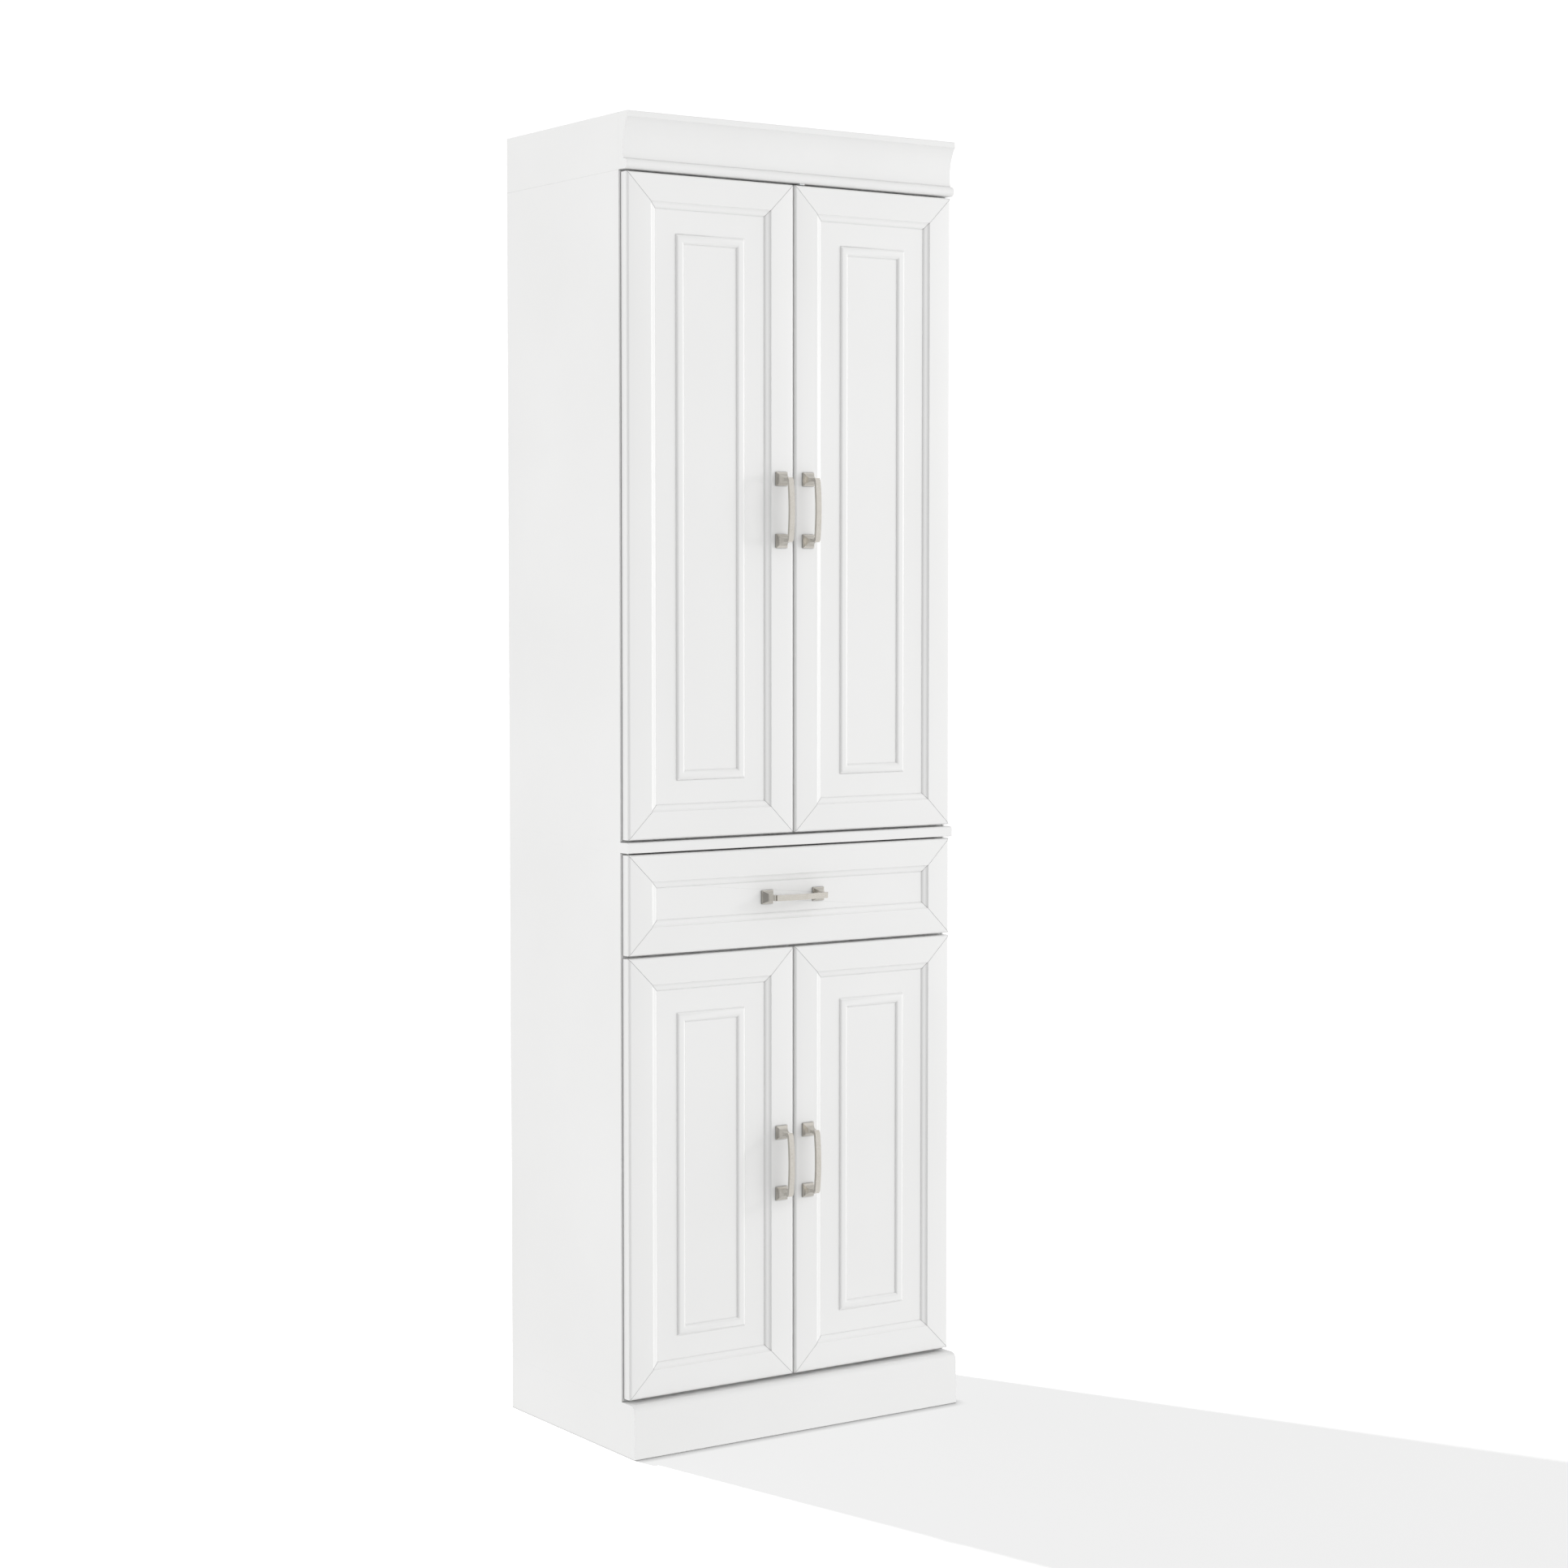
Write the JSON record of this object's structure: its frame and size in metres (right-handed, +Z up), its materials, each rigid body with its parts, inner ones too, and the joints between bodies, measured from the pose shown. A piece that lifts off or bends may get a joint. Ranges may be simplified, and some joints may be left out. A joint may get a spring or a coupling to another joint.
{
  "type": "pantry cabinet",
  "caption": "Tall stacked pantry cabinet: crown moulding, beaded mitred doors over a waist board, full-width drawer, lower doors and a plinth, with bowed bar pulls.",
  "frame": {"origin": "the middle of the whole box at floor level, handles included", "axes": "+X to the right seen from the front, the front faces -Y, +Z up"},
  "size_m": [0.61, 0.393, 2.032],
  "materials": {
    "white_lacquer": "satin white lacquer over fibreboard",
    "shelf_board": "white melamine faced board",
    "back_board": "white faced hardboard",
    "drawer_board": "white faced board",
    "brushed_nickel": "brushed nickel plate",
    "plated_steel": "bright zinc and nickel plated steel",
    "white_plastic": "white moulded plastic"
  },
  "bodies": {
    "cabinet": {"crown_back_rail": "white_lacquer", "crown_moulding": "white_lacquer", "crown_side_left": "white_lacquer", "crown_side_right": "white_lacquer", "crown_top_panel": "white_lacquer", "door_stop": "white_plastic", "drawer_divider": "white_lacquer", "hinge_plates": "plated_steel", "lower_back_panel": "back_board", "lower_bottom_panel": "white_lacquer", "lower_shelf": "shelf_board", "lower_side_left": "white_lacquer", "lower_side_right": "white_lacquer", "plinth_back_rail": "white_lacquer", "plinth_front": "white_lacquer", "plinth_side_left": "white_lacquer", "plinth_side_right": "white_lacquer", "shelf_pins": "plated_steel", "slide_cabinet_rails": "plated_steel", "upper_back_panel": "back_board", "upper_bottom_panel": "white_lacquer", "upper_shelf_high": "shelf_board", "upper_shelf_low": "shelf_board", "upper_shelf_middle": "shelf_board", "upper_side_left": "white_lacquer", "upper_side_right": "white_lacquer", "upper_top_panel": "white_lacquer", "waist_board": "white_lacquer"},
    "upper_left_door": {"upper_left_door_frame": "white_lacquer", "upper_left_door_panel": "white_lacquer", "upper_left_door_handle": "brushed_nickel", "upper_left_handle_screws": "plated_steel", "upper_left_hinge_cups": "plated_steel"},
    "upper_right_door": {"upper_right_door_frame": "white_lacquer", "upper_right_door_panel": "white_lacquer", "upper_right_door_handle": "brushed_nickel", "upper_right_handle_screws": "plated_steel", "upper_right_hinge_cups": "plated_steel"},
    "lower_left_door": {"lower_left_door_frame": "white_lacquer", "lower_left_door_panel": "white_lacquer", "lower_left_door_handle": "brushed_nickel", "lower_left_handle_screws": "plated_steel", "lower_left_hinge_cups": "plated_steel"},
    "lower_right_door": {"lower_right_door_frame": "white_lacquer", "lower_right_door_panel": "white_lacquer", "lower_right_door_handle": "brushed_nickel", "lower_right_handle_screws": "plated_steel", "lower_right_hinge_cups": "plated_steel"},
    "slide_middle": {"slide_middle_rails": "plated_steel"},
    "drawer": {"drawer_front_frame": "white_lacquer", "drawer_front_panel": "white_lacquer", "drawer_handle": "brushed_nickel", "drawer_handle_screws": "plated_steel", "drawer_side_left": "drawer_board", "drawer_side_right": "drawer_board", "drawer_box_front": "drawer_board", "drawer_box_back": "drawer_board", "drawer_bottom": "drawer_board", "slide_drawer_rails": "plated_steel"}
  },
  "joints": [
    {"name": "upper_left_hinge", "type": "hinge", "parent": "cabinet", "child": "upper_left_door", "pos_m": [-0.297, -0.157, 1.4425], "axis": [0, 0, -1], "range_deg": [0, 110]},
    {"name": "upper_right_hinge", "type": "hinge", "parent": "cabinet", "child": "upper_right_door", "pos_m": [0.297, -0.157, 1.4425], "axis": [0, 0, 1], "range_deg": [0, 110]},
    {"name": "lower_left_hinge", "type": "hinge", "parent": "cabinet", "child": "lower_left_door", "pos_m": [-0.297, -0.157, 0.42475], "axis": [0, 0, -1], "range_deg": [0, 110]},
    {"name": "lower_right_hinge", "type": "hinge", "parent": "cabinet", "child": "lower_right_door", "pos_m": [0.297, -0.157, 0.42475], "axis": [0, 0, 1], "range_deg": [0, 110]},
    {"name": "drawer_slide", "type": "slide", "parent": "cabinet", "child": "drawer", "axis": [0, -1, 0], "range_m": [0, 0.28]},
    {"name": "slide_middle_slide", "type": "slide", "parent": "cabinet", "child": "slide_middle", "axis": [0, -1, 0], "range_m": [0, 0.14]}
  ],
  "couplings": [
    {"joint": "slide_middle_slide", "follows": "drawer_slide", "ratio": 0.5}
  ]
}
